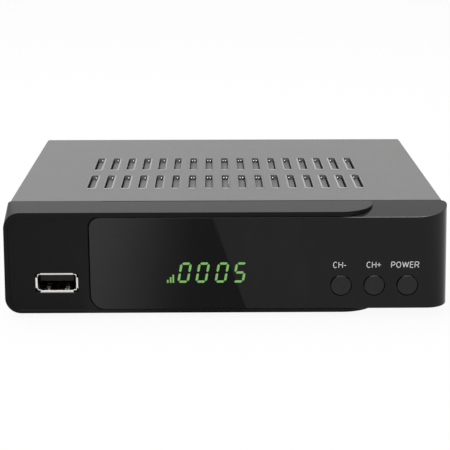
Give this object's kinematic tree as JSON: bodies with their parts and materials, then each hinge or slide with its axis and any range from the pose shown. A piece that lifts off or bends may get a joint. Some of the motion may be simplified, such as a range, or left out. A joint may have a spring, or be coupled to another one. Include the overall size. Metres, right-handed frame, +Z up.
{
  "type": "satellite tv receiver",
  "caption": "Small satellite television receiver: louvred steel case, two-piece black front with lit display, round push buttons, memory-stick socket and rear aerial and video sockets.",
  "frame": {"origin": "centre of the box round the whole receiver, at the height of the table its feet stand on", "axes": "+X to the right seen from the front, +Y to the back, +Z up; the front with the display faces -Y"},
  "size_m": [0.1474, 0.1212, 0.0372],
  "materials": {
    "steel_paint": "fine satin paint",
    "zinc_steel": "zinc-plated sheet",
    "satin_black": "satin moulded",
    "gloss_black": "high gloss, lightly smoked",
    "nickel": "nickel-plated",
    "black_plastic": "matt moulded",
    "rubber": "matt",
    "board_green": "solder mask",
    "board_brown": "phenolic board",
    "display_grey": "matt",
    "infrared_smoke": "dark and clear",
    "chip_black": "matt resin",
    "sink_metal": "black anodised",
    "capacitor_sleeve": "shrunk sleeve",
    "ferrite": "matt ferrite",
    "cream_plastic": "moulded",
    "ribbon_grey": "flat cable"
  },
  "bodies": {
    "receiver": {"top_cover": "steel_paint", "base_tray": "zinc_steel", "tuner_can": "zinc_steel", "front_frame": "satin_black", "front_panel": "gloss_black", "display_module": "display_grey", "infrared_receiver": "infrared_smoke", "front_board": "board_brown", "usb_shell": "nickel", "usb_tongue": "black_plastic", "main_board": "board_green", "hdmi_shell": "nickel", "hdmi_tongue": "black_plastic", "scart_socket": "black_plastic", "power_inlet": "black_plastic", "power_inlet_pin": "nickel", "system_chip": "chip_black", "memory_chip": "chip_black", "heat_sink": "sink_metal", "front_header": "cream_plastic", "main_header": "cream_plastic", "board_ribbon": "ribbon_grey", "coil": "ferrite", "channel_down_switch": "black_plastic", "channel_up_switch": "black_plastic", "power_switch": "black_plastic", "lnb_in_socket": "nickel", "lnb_in_nut": "nickel", "lnb_out_socket": "nickel", "lnb_out_nut": "nickel", "capacitor_1": "capacitor_sleeve", "capacitor_2": "capacitor_sleeve", "capacitor_3": "capacitor_sleeve", "capacitor_4": "capacitor_sleeve", "foot_front_left": "rubber", "cover_screw_front_left": "nickel", "board_screw_front_left": "nickel", "foot_front_right": "rubber", "cover_screw_front_right": "nickel", "board_screw_front_right": "nickel", "foot_rear_left": "rubber", "cover_screw_rear_left": "nickel", "board_screw_rear_left": "nickel", "foot_rear_right": "rubber", "cover_screw_rear_right": "nickel", "board_screw_rear_right": "nickel", "tab_screw_left": "nickel", "tab_screw_right": "nickel", "front_board_screw_lower_left": "nickel", "front_board_screw_upper_left": "nickel", "front_board_screw_upper_right": "nickel"},
    "channel_down_key": {"channel_down_button": "gloss_black", "channel_down_plunger": "cream_plastic"},
    "channel_up_key": {"channel_up_button": "gloss_black", "channel_up_plunger": "cream_plastic"},
    "power_key": {"power_button": "gloss_black", "power_plunger": "cream_plastic"}
  },
  "joints": [
    {"name": "channel_down_press", "type": "slide", "parent": "receiver", "child": "channel_down_key", "axis": [0, 1, 0], "range_m": [0, 0.0004], "stiffness_N_per_m": 1500},
    {"name": "channel_up_press", "type": "slide", "parent": "receiver", "child": "channel_up_key", "axis": [0, 1, 0], "range_m": [0, 0.0004], "stiffness_N_per_m": 1500},
    {"name": "power_press", "type": "slide", "parent": "receiver", "child": "power_key", "axis": [0, 1, 0], "range_m": [0, 0.0004], "stiffness_N_per_m": 1500}
  ]
}
